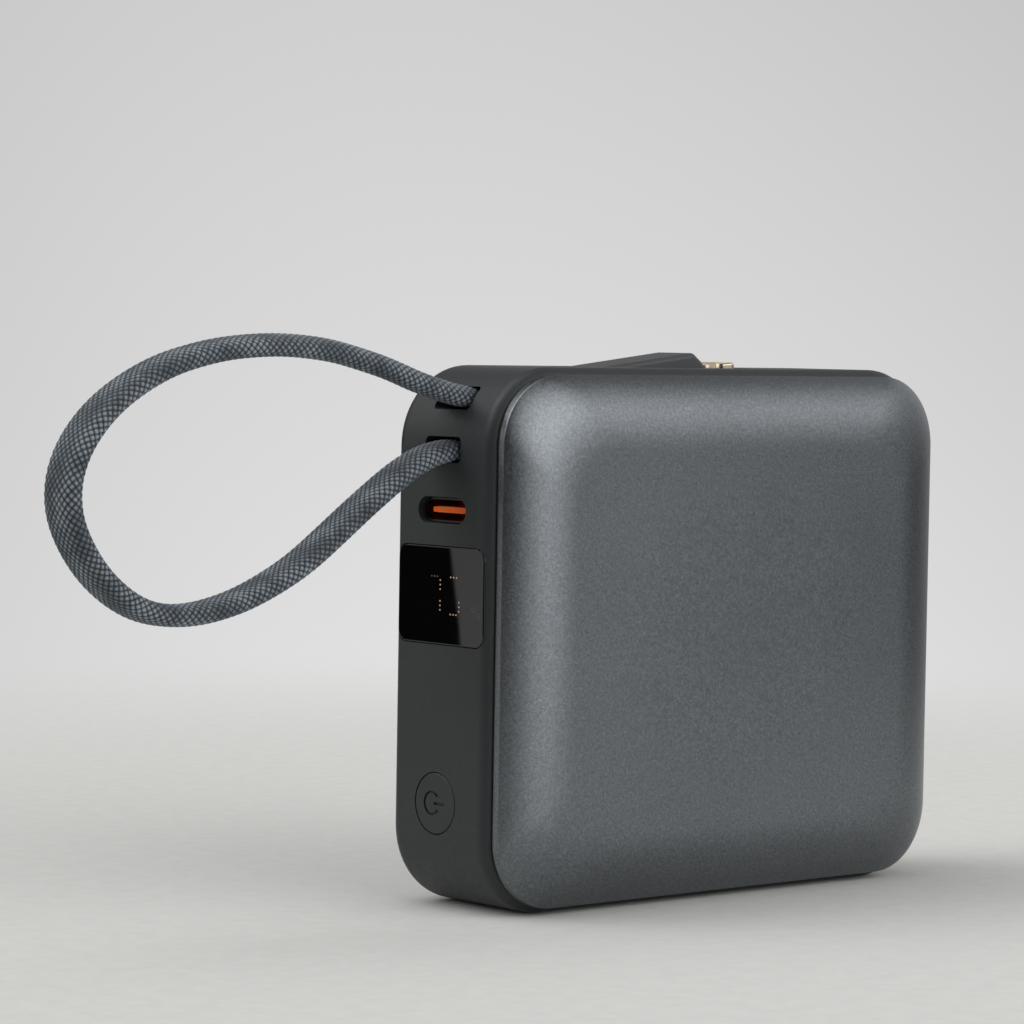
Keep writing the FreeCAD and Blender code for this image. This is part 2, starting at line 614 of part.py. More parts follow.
def rounded_path(points, radii=None):
    """edges of straight runs joined by tangent arcs; returns edges and radii"""
    out, rr = [], []
    cur = points[0]
    for i in range(1, len(points) - 1):
        a, b, c = points[i - 1], points[i], points[i + 1]
        u, v = (a - b), (c - b)
        lu, lv = u.Length, v.Length
        u.normalize(); v.normalize()
        turn = math.pi - math.acos(max(-1, min(1, u.dot(v))))
        cut = 0.45 * min(lu, lv)
        r = cut / math.tan(turn / 2)
        rr.append(r)
        p, q = b + u * cut, b + v * cut
        bis = (u + v); bis.normalize()
        centre = b + bis * (r / math.cos(turn / 2))
        m = centre - bis * r
        out.append(Part.LineSegment(cur, p))
        out.append(Part.Arc(p, m, q))
        cur = q
    out.append(Part.LineSegment(cur, points[-1]))
    return out, rr


def round_tube(label, points, dia):
    geo, rr = rounded_path([Vector(*p) for p in points])
    wire = Part.Wire([g.toShape() for g in geo])
    d = Vector(*points[1]) - Vector(*points[0])
    prof = Part.Wire([Part.Circle(Vector(*points[0]), d, dia / 2).toShape()])
    sh = wire.makePipeShell([prof], True, False)
    o = doc.addObject("Part::Feature", label)
    o.Label = label
    o.Shape = sh
    want = math.pi * dia * dia / 4 * wire.Length
    if abs(sh.Volume - want) > 0.03 * want or not sh.isValid():
        raise RuntimeError("%s volume %.2f, section x length %.2f" % (label, sh.Volume, want))
    return o


cs = V["cell_start"]
bp = V["board_plane"] + V["board_thick"]
lead = []
for k, (y, dia) in enumerate(((-6.9, 1.3), (6.9, 1.3))):
    zt = V["cell_base"] + 31.5
    lead.append(round_tube("lead_%d" % k, [(cs - 1.0, y, zt), (cs - 2.6, y, zt), (cs - 3.6, y, zt - 2.6),
                                           (cs - 3.6, y, zt - 6.0), (bp, y, zt - 6.0)], dia))
NODES["battery_leads"] = group("battery_leads", lead)

# ---------------------------------------------------------------- cable
cw, ct = V["cable_wide"], V["cable_thick"]


def oval_tube(label, points, wide=cw, thick=ct, say=True):
    """oval cable whose wide axis is Y, along a route in the XZ plane; straight
    runs are extrusions and arcs are revolutions of the same section"""
    pts = [Vector(p[0], 0, p[1]) for p in points]
    geo, rr = rounded_path(pts)
    solids, length = [], 0.0
    for g in geo:
        e = g.toShape()
        if e.Length < 1e-6:
            continue
        length += e.Length
        p0 = e.valueAt(e.FirstParameter)
        tan = e.tangentAt(e.FirstParameter)
        nrm = Vector(0, 1, 0).cross(tan)
        el = Part.Ellipse(p0 + Vector(0, wide / 2, 0), p0 + nrm * (thick / 2), p0)
        face = Part.Face(Part.Wire([el.toShape()]))
        if isinstance(g, Part.LineSegment):
            solids.append(face.extrude(tan * e.Length))
        else:
            circ = e.Curve
            ax = circ.Axis
            ang = math.degrees(e.Length / circ.Radius)
            # turn sense: tangent = axis x radius
            rad = p0 - circ.Center
            if ax.cross(rad).dot(tan) < 0:
                ax = ax * -1
            solids.append(face.revolve(circ.Center, ax, ang))
    sh = solids[0].fuse(solids[1:]) if len(solids) > 1 else solids[0]
    sh = sh.removeSplitter() if hasattr(sh, "removeSplitter") else sh
    body = sh.Solids[0] if len(sh.Solids) == 1 else sh
    want = math.pi * wide * thick / 4 * length
    if say:
        print(label, "length %.1f" % length, "volume %.1f of %.1f" % (body.Volume, want),
              "radii", [round(r, 1) for r in rr])
    if abs(body.Volume - want) > 0.02 * want or len(sh.Solids) != 1 or not body.isValid():
        raise RuntimeError("%s: bad sweep" % label)
    o = doc.addObject("Part::Feature", label)
    o.Label = label
    o.Shape = body
    return o


LOW, HIGH = V["slot_low_level"], V["slot_high_level"]
X0 = -V["width"] / 2
# both ends of the loop start level inside the slots, then the cable springs
# clear of the side and swings round
ROUTE = [(-33.8, HIGH), (-37.4, HIGH), (-43.8, 69.2), (-52.4, 72.2), (-63.3, 74.5), (-76.4, 74.2),
         (-88.4, 71.1), (-97.9, 64.4), (-101.6, 55.6), (-97.4, 46.7), (-88.8, 40.6), (-77.9, 40.7),
         (-66.2, 45.2), (-55.9, 52.8), (-47.5, 58.6), (-41.6, LOW), (-37.0, LOW)]
NODES["cable_loop"] = oval_tube("cable_loop", ROUTE)

# end of the cable in its crimp block behind the lower slot
root = doc.addObject("Part::Feature", "cable_root")
root.Label = "cable_root"
el = Part.Ellipse(Vector(-37.0, cw / 2, LOW), Vector(-37.0, 0, LOW + ct / 2), Vector(-37.0, 0, LOW))
root.Shape = Part.Face(Part.Wire([el.toShape()])).extrude(Vector(4.8, 0, 0))
NODES["cable_root"] = root

blk = box("anchor_block", "-params.width/2+params.wall+1.2", "-6.2", "params.slot_low_level-2.55", "6.6", "12.4", "5.1")
bore = doc.addObject("Part::Feature", "anchor_bore")
el = Part.Ellipse(Vector(-39, cw / 2 + 0.03, LOW), Vector(-39, 0, LOW + ct / 2 + 0.03), Vector(-39, 0, LOW))
bore.Shape = Part.Face(Part.Wire([el.toShape()])).extrude(Vector(12.0, 0, 0))
wayout = [cyl("anchor_screw_way_%d" % i, "-params.width/2+params.wall+4", "%.1f" % y,
              "params.slot_low_level-3", "1.7", "6.5", "z") for i, y in enumerate((-4.75, 4.75))]
NODES["cable_anchor"] = boolean("Cut", "cable_anchor", blk, [bore] + wayout)
ascr = []
for i, y in enumerate((-4.75, 4.75)):
    a = cyl("ascrew_head_%d" % i, "-params.width/2+params.wall+4", "%.2f" % y, "params.slot_low_level+2.55", "2.6", "0.8", "z")
    b = cyl("ascrew_shank_%d" % i, "-params.width/2+params.wall+4", "%.2f" % y, "params.slot_low_level-3.8", "1.36", "6.5", "z")
    ascr.append(boolean("Fuse", "anchor_screw_%d" % i, a, [b]))
NODES["anchor_screws"] = group("anchor_screws", ascr)

wires = []
for k, y in enumerate((-1.8, -0.6, 0.6, 1.8)):
    x1 = -32.2
    wires.append(round_tube("wire_%d" % k, [(x1, y, LOW - 0.1), (x1 + 1.6, y, LOW - 0.1), (x1 + 2.6, y, LOW - 1.8),
                                            (x1 + 2.8, y, LOW - 4.0), (x1 + 2.4, y, LOW - 6.0),
                                            (x1 + 1.8, y, LOW - 7.6), (bp, y, LOW - 7.6)], 0.9))
NODES["cable_wires"] = group("cable_wires", wires)

# channel under the top wall from the upper slot to the plug recess
gx0, gx1 = -28.0, V["stow_start"] + 0.0
guide_out = box("guide_block", "%.2f" % gx0, "-params.slot_width/2-1", "params.slot_high_level-params.slot_high_height/2-1",
                "%.2f" % (gx1 - gx0 - 1.4), "params.slot_width+2",
                "params.height-params.wall-(params.slot_high_level-params.slot_high_height/2-1)")
guide_in = box("guide_space", "%.2f" % (gx0 - 1), "-params.slot_width/2", "params.slot_high_level-params.slot_high_height/2",
               "%.2f" % (gx1 - gx0 + 2), "params.slot_width", "6")
NODES["cable_guide"] = boolean("Cut", "cable_guide", guide_out, [guide_in])

inner = doc.addObject("Part::Feature", "cable_inner")
inner.Label = "cable_inner"
el = Part.Ellipse(Vector(-33.8, cw / 2, HIGH), Vector(-33.8, 0, HIGH + ct / 2), Vector(-33.8, 0, HIGH))
inner.Shape = Part.Face(Part.Wire([el.toShape()])).extrude(Vector(-19.3 + 33.8, 0, 0))
NODES["cable_inner"] = inner

# tub that closes the plug recess from below
tx0, tx1 = V["stow_start"] - 1.3, V["stow_end"] + 1.3
tub = box("tray_block", "params.stow_start-1.3", "-params.stow_width/2-1.2", "params.stow_floor-1.8",
          "params.stow_end-params.stow_start+2.6", "params.stow_width+2.4", "params.height-params.wall-params.stow_floor+1.8")
hollow = box("tray_space", "params.stow_start", "-params.stow_width/2", "params.stow_floor",
             "params.stow_end-params.stow_start", "params.stow_width", "8")
mouth = box("tray_mouth", "params.stow_start-3", "-params.slot_width/2", "params.slot_high_level-params.slot_high_height/2",
            "5.2", "params.slot_width", "6")
mag = box("tray_magnet_seat", "params.stow_end-13.6", "-3.05", "params.stow_floor-1.3", "6.1", "6.1", "1.0")
tray = boolean("Cut", "stow_tray", tub, [hollow, mouth, mag])
NODES["stow_tray"] = tray
NODES["stow_magnet"] = box("stow_magnet", "params.stow_end-13.55", "-3", "params.stow_floor-1.28", "6", "6", "0.96")

# ---------------------------------------------------------------- plug on top
# side outline of the wedge boot, extruded across and rounded
boot = new_body("plug_boot")
s = sketch_on(boot, "boot_line", "XZ_Plane")
BO = [(-17.6, 69.0), (-17.6, 71.84), (0.5, 74.08), (2.3, 72.75), (2.65, 71.5), (2.65, 68.5), (-10.0, 68.3)]
seg = [Part.LineSegment(Vector(BO[i][0], BO[i][1], 0), Vector(BO[(i + 1) % len(BO)][0], BO[(i + 1) % len(BO)][1], 0))
       for i in range(len(BO))]
s.addGeometry(seg, False)
cons = [Sketcher.Constraint("Coincident", i, 2, (i + 1) % len(BO), 1) for i in range(len(BO))]
s.addConstraint(cons)
for i, (x, z) in enumerate(BO):
    a = s.addConstraint(Sketcher.Constraint("DistanceX", -1, 1, i, 1, x))
    b = s.addConstraint(Sketcher.Constraint("DistanceY", -1, 1, i, 1, z))
    s.renameConstraint(a, "px%d" % i); s.renameConstraint(b, "pz%d" % i)
    s.setExpression("Constraints.px%d" % i, cell("boot_x_" + "abcdefg"[i], x))
    s.setExpression("Constraints.pz%d" % i, cell("boot_z_" + "abcdefg"[i], z))
pad(boot, "boot_block", s, cell("boot_width", 7.7), mid=True)
doc.recompute()
fillet(boot, "boot_nose", edges_where(boot.Shape, lambda e: e.BoundBox.YLength > 5 and e.BoundBox.ZMin > 72.3), "0.9")
doc.recompute()
fillet(boot, "boot_sides", edges_where(boot.Shape, lambda e: e.BoundBox.YLength < 1e-4 and e.BoundBox.ZMax > 71
                                       and e.BoundBox.XLength > 0.05 and e.BoundBox.ZMin > 71.4), "0.7")
NODES["plug_boot"] = boot

tabb = new_body("plug_tab")
s = rounded(tabb, "tab_line", "XY_Plane", cell("tab_length", 6.35), cell("tab_width", 6.7), "1.0",
            (None, None, None))
pad(tabb, "tab_block", s, cell("tab_thick", 1.5), mid=True)
doc.recompute()
for sgn in (-1, 1):
    c = circle(tabb, "notch_line_%s" % ("near" if sgn < 0 else "far"), "XY_Plane", "1.9",
               ("-0.35", "%.2f" % (sgn * (3.35 + 0.42)), None))
    pocket(tabb, "notch_%s" % ("near" if sgn < 0 else "far"), c, "4", mid=True)
doc.recompute()
fillet(tabb, "tab_edges", edges_where(tabb.Shape, lambda e: abs(abs(e.BoundBox.ZMin) - 0.75) < 1e-6
                                      and e.BoundBox.ZLength < 1e-6 and e.BoundBox.XMax > 3.1), "0.3")
doc.recompute()
TILT = -4.0
tabb.Placement = FreeCAD.Placement(Vector(2.65 + 3.175 + 0.055, 0, 71.86), FreeCAD.Rotation(Vector(0, 1, 0), TILT))
NODES["plug_tab"] = tabb
gold = []
for k in range(8):
    b = doc.addObject("Part::Box", "pad_%d" % k)
    b.Label = "pad_%d" % k
    b.Length, b.Width, b.Height = 2.2, 0.42, 0.04
    b.Placement = tabb.Placement.multiply(FreeCAD.Placement(Vector(-0.1, -2.45 + 0.64 * k, 0.75), FreeCAD.Rotation()))
    gold.append(b)
NODES["plug_contacts"] = group("plug_contacts", gold)

tail = doc.addObject("Part::Feature", "plug_tail")
tail.Label = "plug_tail"
# short free neck between the channel and the boot
e0 = Part.Ellipse(Vector(-19.3, cw / 2, HIGH), Vector(-19.3, 0, HIGH + ct / 2), Vector(-19.3, 0, HIGH))
e1 = Part.Ellipse(Vector(-18.0, cw / 2, HIGH + 1.0), Vector(-18.0, 0, HIGH + 1.0 + ct / 2), Vector(-18.0, 0, HIGH + 1.0))
tail.Shape = Part.makeLoft([Part.Wire([e0.toShape()]), Part.Wire([e1.toShape()])], True, True)
NODES["plug_tail"] = tail

# ---------------------------------------------------------------- check and write
doc.recompute()
bad = [o.Name for o in doc.Objects if "Invalid" in o.State or "Error" in o.State]
if bad:
    raise RuntimeError("failed objects: %s" % bad)
os.makedirs("parts", exist_ok=True)
for old in os.listdir("parts"):
    if old.endswith(".step"):
        os.remove(os.path.join("parts", old))
total = 0
for name, obj in NODES.items():
    if obj.Label != name:
        raise RuntimeError("label %s of node %s" % (obj.Label, name))
    sh = obj.Shape
    if sh.isNull() or not sh.isValid() or sh.Volume <= 0:
        raise RuntimeError("bad shape: " + name)
    sh.exportStep("parts/%s.step" % name)
    total += 1
    bb = sh.BoundBox
    print("%-18s %d solid(s) vol %9.2f  x %7.2f %7.2f  y %7.2f %7.2f  z %6.2f %6.2f" % (
        name, len(sh.Solids), sh.Volume, bb.XMin, bb.XMax, bb.YMin, bb.YMax, bb.ZMin, bb.ZMax))
print("nodes", total)
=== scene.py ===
import json
import math
import bpy
import bmesh
import numpy as np
from mathutils import Matrix, Vector


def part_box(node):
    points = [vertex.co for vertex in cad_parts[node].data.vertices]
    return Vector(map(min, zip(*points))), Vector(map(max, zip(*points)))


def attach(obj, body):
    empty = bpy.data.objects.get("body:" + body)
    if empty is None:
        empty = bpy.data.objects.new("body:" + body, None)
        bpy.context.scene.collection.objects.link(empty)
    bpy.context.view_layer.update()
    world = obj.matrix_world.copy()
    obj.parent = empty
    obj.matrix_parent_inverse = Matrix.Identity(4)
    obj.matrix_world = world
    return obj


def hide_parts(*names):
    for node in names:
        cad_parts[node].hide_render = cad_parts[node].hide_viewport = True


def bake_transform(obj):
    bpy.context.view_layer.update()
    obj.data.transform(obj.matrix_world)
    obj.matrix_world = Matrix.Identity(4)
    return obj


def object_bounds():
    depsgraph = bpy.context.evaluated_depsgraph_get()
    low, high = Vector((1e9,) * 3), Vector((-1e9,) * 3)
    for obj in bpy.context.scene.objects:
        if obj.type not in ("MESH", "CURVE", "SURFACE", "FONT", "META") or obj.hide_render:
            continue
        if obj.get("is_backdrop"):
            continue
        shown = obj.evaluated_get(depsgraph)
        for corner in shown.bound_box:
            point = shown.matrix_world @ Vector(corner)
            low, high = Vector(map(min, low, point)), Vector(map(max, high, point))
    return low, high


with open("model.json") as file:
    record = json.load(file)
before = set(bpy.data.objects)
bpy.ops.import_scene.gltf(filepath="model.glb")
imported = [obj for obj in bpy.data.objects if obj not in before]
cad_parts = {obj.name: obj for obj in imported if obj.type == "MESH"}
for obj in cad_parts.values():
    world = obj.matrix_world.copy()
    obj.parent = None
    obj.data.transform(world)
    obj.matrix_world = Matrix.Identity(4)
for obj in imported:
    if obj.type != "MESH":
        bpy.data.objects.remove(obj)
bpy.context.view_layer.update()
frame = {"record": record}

MM = 0.001
scene = bpy.context.scene
scene.view_settings.view_transform = "Standard"
scene.view_settings.look = "None"

# ------------------------------------------------------------------ camera
# long lens a little above the object, on its front left
AZ, PITCH, ROLL = math.radians(-40.752), math.radians(2.638), math.radians(0.941)
back = Vector((math.sin(AZ) * math.cos(PITCH), -math.cos(AZ) * math.cos(PITCH), math.sin(PITCH)))
fwd = -back
right0 = fwd.cross(Vector((0, 0, 1))).normalized()
up0 = right0.cross(fwd)
right = right0 * math.cos(ROLL) + up0 * math.sin(ROLL)
up = up0 * math.cos(ROLL) - right0 * math.sin(ROLL)
cam_data = bpy.data.cameras.new("camera")
cam = bpy.data.objects.new("camera", cam_data)
scene.collection.objects.link(cam)
cam_data.sensor_fit = "HORIZONTAL"
cam_data.sensor_width = 36.0
cam_data.lens = 3844.7 * 36.0 / 1024.0
cam_data.clip_start, cam_data.clip_end = 0.01, 50.0
cam.matrix_world = Matrix((
    (right.x, up.x, back.x, -0.36301),
    (right.y, up.y, back.y, -0.38778),
    (right.z, up.z, back.z, 0.07614),
    (0, 0, 0, 1)))
scene.camera = cam


# ------------------------------------------------------------------ helpers
def new_mesh(name, verts, faces, smooth=True):
    me = bpy.data.meshes.new(name)
    me.from_pydata([tuple(v) for v in verts], [], faces)
    me.update()
    if smooth:
        me.polygons.foreach_set("use_smooth", [True] * len(me.polygons))
    ob = bpy.data.objects.new(name, me)
    scene.collection.objects.link(ob)
    return ob


def sharp(ob, angle):
    """smooth shading with creases where faces meet at more than angle degrees"""
    bpy.context.view_layer.objects.active = ob
    for o in bpy.context.selected_objects:
        o.select_set(False)
    ob.select_set(True)
    bpy.ops.object.shade_smooth_by_angle(angle=math.radians(angle))
    ob.select_set(False)


class Mat:
    """small node-tree builder"""

    def __init__(self, name, **sockets):
        self.m = bpy.data.materials.new(name)
        self.m.use_nodes = True
        self.nt = self.m.node_tree
        self.n, self.l = self.nt.nodes, self.nt.links
        self.n.clear()
        self.out = self.n.new("ShaderNodeOutputMaterial")
        self.b = self.n.new("ShaderNodeBsdfPrincipled")
        self.l.new(self.b.outputs["BSDF"], self.out.inputs["Surface"])
        for k, v in sockets.items():
            self.set(k, v)

    def set(self, k, v):
        s = self.b.inputs[k.replace("_", " ")]
        if isinstance(v, (tuple, list)) and len(v) == 3:
            v = (*v, 1.0)
        s.default_value = v

    def node(self, kind, **props):
        nd = self.n.new("ShaderNode" + kind)
        for k, v in props.items():
            if k.startswith("i_"):
                nd.inputs[k[2:].replace("_", " ")].default_value = v
            else:
                setattr(nd, k, v)
        return nd

    def link(self, a, b):
        self.l.new(a, b)

    def noise(self, scale, detail=2.0, rough=0.5, vec=None, stretch=None):
        nz = self.node("TexNoise")
        nz.inputs["Scale"].default_value = scale
        nz.inputs["Detail"].default_value = detail
        nz.inputs["Roughness"].default_value = rough
        src = vec
        if src is None:
            tc = self.node("TexCoord")
            src = tc.outputs["Object"]
        if stretch is not None:
            mp = self.node("Mapping")
            mp.inputs["Scale"].default_value = stretch
            self.link(src, mp.inputs["Vector"])
            src = mp.outputs["Vector"]
        self.link(src, nz.inputs["Vector"])
        return nz.outputs["Fac"]

    def ramp(self, fac, stops):
        r = self.node("ValToRGB")
        els = r.color_ramp.elements
        while len(els) < len(stops):
            els.new(0.5)
        for e, (p, c) in zip(els, stops):
            e.position = p
            e.color = (*c, 1.0) if len(c) == 3 else c
        self.link(fac, r.inputs["Fac"])
        return r.outputs["Color"]

    def remap(self, fac, a, b, lo, hi):
        r = self.node("MapRange")
        r.inputs["From Min"].default_value = a
        r.inputs["From Max"].default_value = b
        r.inputs["To Min"].default_value = lo
        r.inputs["To Max"].default_value = hi
        self.link(fac, r.inputs["Value"])
        return r.outputs["Result"]

    def bump(self, height, strength, distance, normal=None):
        bp = self.node("Bump")
        bp.inputs["Strength"].default_value = strength
        bp.inputs["Distance"].default_value = distance
        self.link(height, bp.inputs["Height"])
        if normal is not None:
            self.link(normal, bp.inputs["Normal"])
        return bp.outputs["Normal"]

    def math(self, op, a, b):
        nd = self.node("Math", operation=op)
        for i, v in enumerate((a, b)):
            if isinstance(v, (int, float)):
                nd.inputs[i].default_value = v
            else:
                self.link(v, nd.inputs[i])
        return nd.outputs[0]


# ------------------------------------------------------------------ materials
def moulded(name, base, rough, grain=0.35, spread=0.10, scale=9000.0):
    """spark-eroded matte plastic: fine grain in bump, slight tone and gloss drift"""
    m = Mat(name)
    fine = m.noise(scale, 2.0, 0.6)
    mid = m.noise(scale / 9.0, 3.0, 0.55)
    broad = m.noise(45.0, 2.0, 0.5)
    lo = tuple(c * (1 - spread) for c in base)
    hi = tuple(c * (1 + spread) for c in base)
    m.link(m.ramp(broad, [(0.3, lo), (0.7, hi)]), m.b.inputs["Base Color"])
    m.link(m.remap(mid, 0.3, 0.7, rough - 0.05, rough + 0.05), m.b.inputs["Roughness"])
    n1 = m.bump(mid, grain * 0.5, 0.00003)
    m.link(m.bump(fine, grain, 0.000012, n1), m.b.inputs["Normal"])
    m.set("Specular_IOR_Level", 0.45)
    return m


frame_mat = moulded("frame_plastic", (0.0163, 0.0205, 0.0218), 0.50)
frame_mat.set("Sheen_Weight", 0.08)
frame_mat.set("Sheen_Roughness", 0.35)
button_mat = moulded("button_plastic", (0.0168, 0.0210, 0.0223), 0.50)
boot_mat = moulded("boot_plastic", (0.050, 0.052, 0.055), 0.46, 0.3)
inner_mat = moulded("inner_plastic", (0.02, 0.02, 0.021), 0.6)

# sand-blasted, anodised aluminium: speckled at about 0.15 mm
skin = Mat("anodised_skin", Metallic=1.0)
speck = skin.noise(6500.0, 2.0, 0.75)
speck2 = skin.noise(2600.0, 3.0, 0.65)
cloud = skin.noise(38.0, 2.0, 0.5)
mixed = skin.math("ADD", skin.math("MULTIPLY", speck, 0.55), skin.math("MULTIPLY", speck2, 0.45))
tone = skin.ramp(mixed, [(0.36, (0.1120, 0.1220, 0.1310)), (0.5, (0.1550, 0.1675, 0.1790)), (0.64, (0.2200, 0.2370, 0.2530))])
drift = skin.ramp(cloud, [(0.3, (0.95, 0.95, 0.95)), (0.7, (1.04, 1.04, 1.04))])
mul = skin.node("Mix", data_type="RGBA", blend_type="MULTIPLY")
mul.inputs[0].default_value = 1.0
skin.link(tone, mul.inputs[6])
skin.link(drift, mul.inputs[7])
skin.link(mul.outputs[2], skin.b.inputs["Base Color"])
skin.link(skin.remap(mixed, 0.35, 0.65, 0.31, 0.38), skin.b.inputs["Roughness"])
sn = skin.bump(speck2, 0.35, 0.00003)
skin.link(skin.bump(speck, 0.5, 0.000016, sn), skin.b.inputs["Normal"])

# gloss black window with a very slight smear in its polish
window = Mat("window_gloss", Base_Color=(0.0015, 0.0015, 0.0018), IOR=1.5)
window.link(window.remap(window.noise(260.0, 3.0, 0.6), 0.3, 0.75, 0.006, 0.016), window.b.inputs["Roughness"])
window.link(window.bump(window.noise(90.0, 1.0, 0.4), 0.02, 0.0001), window.b.inputs["Normal"])


def metal(name, base, rough, spread=0.06, scale=3500.0):
    m = Mat(name, Metallic=1.0)
    nz = m.noise(scale, 3.0, 0.6)
    m.link(m.ramp(nz, [(0.3, tuple(c * 0.9 for c in base)), (0.7, tuple(min(1, c * 1.06) for c in base))]), m.b.inputs["Base Color"])
    m.link(m.remap(nz, 0.3, 0.7, rough - spread, rough + spread), m.b.inputs["Roughness"])
    m.link(m.bump(nz, 0.15, 0.00001), m.b.inputs["Normal"])
    return m


tinned = metal("tinned_metal", (0.6, 0.6, 0.58), 0.3)
stainless = metal("stainless", (0.5, 0.5, 0.51), 0.3)
shell_mat = Mat("socket_shell", Roughness=0.24)
sh_tc = shell_mat.node("TexCoord")
sh_sep = shell_mat.node("SeparateXYZ")
shell_mat.link(sh_tc.outputs["Object"], sh_sep.inputs[0])
# deeper in the socket the shell turns dark red: a painted red reflection, with a random tone; at the mouth it stays
# near black
sh_red_reflection = shell_mat.remap(sh_sep.outputs["X"], -0.0396, -0.0388, 0.0, 1.0)
sh_red_reflection = shell_mat.math("MULTIPLY", sh_red_reflection, shell_mat.remap(shell_mat.noise(900.0, 2.0, 0.5), 0.3, 0.7, 0.6, 1.0))
shell_mat.link(shell_mat.ramp(sh_red_reflection, [(0.0, (0.003, 0.003, 0.003)), (1.0, (0.115, 0.007, 0.002))]), shell_mat.b.inputs["Base Color"])
switch_mat = metal("switch_metal", (0.5, 0.5, 0.5), 0.35)
gold = metal("gold", (0.86, 0.62, 0.27), 0.22)
plug_metal = metal("plug_metal", (0.80, 0.70, 0.52), 0.24, 0.05)
pouch = metal("cell_pouch", (0.5, 0.51, 0.53), 0.4)

tongue = Mat("socket_tongue")
tz = tongue.noise(4200.0, 2.0, 0.6)
tongue.link(tongue.ramp(tz, [(0.3, (0.78, 0.100, 0.002)), (0.7, (0.92, 0.150, 0.003))]), tongue.b.inputs["Base Color"])
tongue.link(tongue.remap(tz, 0.3, 0.7, 0.33, 0.42), tongue.b.inputs["Roughness"])
tongue.link(tongue.bump(tz, 0.2, 0.00001), tongue.b.inputs["Normal"])
tongue.set("Specular_IOR_Level", 0.25)
# the emission is a painted glow: the tongue is no lamp
tongue.set("Emission_Color", (0.9, 0.13, 0.004))
tongue.set("Emission_Strength", 0.05)

liner = Mat("socket_liner")
lz = liner.noise(1800.0, 2.0, 0.5)
liner.link(liner.ramp(lz, [(0.3, (0.20, 0.012, 0.002)), (0.7, (0.32, 0.028, 0.004))]), liner.b.inputs["Base Color"])
liner.link(liner.remap(lz, 0.3, 0.7, 0.18, 0.28), liner.b.inputs["Roughness"])
# the emission is a painted red glow: the liner is no lamp
liner.set("Emission_Color", (0.5, 0.03, 0.0))
liner.set("Emission_Strength", 0.02)

board = Mat("board")
bz = board.noise(900.0, 3.0, 0.6)
board.link(board.ramp(bz, [(0.4, (0.012, 0.08, 0.04)), (0.6, (0.02, 0.13, 0.065))]), board.b.inputs["Base Color"])
board.link(board.remap(bz, 0.3, 0.7, 0.3, 0.4), board.b.inputs["Roughness"])
board.link(board.bump(bz, 0.2, 0.00002), board.b.inputs["Normal"])
capm = moulded("capacitor", (0.42, 0.30, 0.19), 0.5)
module = moulded("module_plastic", (0.014, 0.014, 0.015), 0.45)
adhesive = moulded("adhesive", (0.02, 0.02, 0.02), 0.75)
foam = moulded("foam", (0.03, 0.03, 0.032), 0.9, 0.9)
lead = moulded("lead_red", (0.42, 0.02, 0.015), 0.42, 0.15)
jacket = moulded("cable_jacket", (0.03, 0.03, 0.03), 0.5)

SLOT = {
    "frame_plastic": frame_mat, "anodised_skin": skin, "inner_plastic": inner_mat, "adhesive": adhesive,
    "window_gloss": window, "module_plastic": module, "tinned_metal": tinned, "button_plastic": button_mat,
    "switch_metal": switch_mat, "stainless": stainless, "socket_liner": liner, "socket_tongue": tongue,
    "gold": gold, "board": board, "capacitor": capm, "cell_pouch": pouch, "foam": foam, "lead_red": lead,
    "cable_jacket": jacket, "boot_plastic": boot_mat, "plug_metal": plug_metal,
}
SLOTS = {s["node"]: s["material_slot"] for s in frame["record"]["subparts"]}
for node, slot_name in SLOTS.items():
    ob = bpy.data.objects.get(node)
    m = SLOT.get(slot_name)
    if node == "usb_shell":
        m = shell_mat
    if ob is None or m is None:
        continue
    if not ob.material_slots:
        ob.data.materials.append(m.m)
    for sl in ob.material_slots:
        sl.material = m.m

# ------------------------------------------------------------------ cable loop
# the route's points, in metres, on the middle plane; a smooth spline of them
# is the line that the braid follows
CABLE_W, CABLE_T = 0.0059, 0.0029
LOW_Z, HIGH_Z = 0.061, 0.06775
ROUTE = [(-0.0338, HIGH_Z), (-0.0374, HIGH_Z), (-0.0438, 0.0692), (-0.0524, 0.0722), (-0.0633, 0.0745),
         (-0.0764, 0.0742), (-0.0884, 0.0711), (-0.0979, 0.0644), (-0.1016, 0.0556), (-0.0974, 0.0467),
         (-0.0888, 0.0406), (-0.0779, 0.0407), (-0.0662, 0.0452), (-0.0559, 0.0528), (-0.0475, 0.0586),
         (-0.0416, LOW_Z), (-0.0370, LOW_Z)]


def spline_line(name, points, resolution):
    """points along the NURBS spline of these control points"""
    cu = bpy.data.curves.new(name, "CURVE")
    cu.dimensions = "3D"
    cu.resolution_u = resolution
    sp = cu.splines.new("NURBS")
    sp.points.add(len(points) - 1)
    for p, (x, y, z) in zip(sp.points, points):
        p.co = (x, y, z, 1.0)
    sp.order_u = 3
    sp.use_endpoint_u = True
    ob = bpy.data.objects.new(name, cu)
    scene.collection.objects.link(ob)
    bpy.context.view_layer.update()
    dg = bpy.context.evaluated_depsgraph_get()
    me = bpy.data.meshes.new_from_object(ob.evaluated_get(dg))
    pts = np.array([v.co[:] for v in me.vertices])
    bpy.data.meshes.remove(me)
    bpy.data.objects.remove(ob)
    bpy.data.curves.remove(cu)
    return pts


def even(pts, step):
    """the same line with even steps along it"""
    d = np.r_[0, np.cumsum(np.linalg.norm(np.diff(pts, axis=0), axis=1))]
    n = max(8, int(round(d[-1] / step)))
    s = np.linspace(0, d[-1], n + 1)
    return np.stack([np.interp(s, d, pts[:, k]) for k in range(3)], 1), s


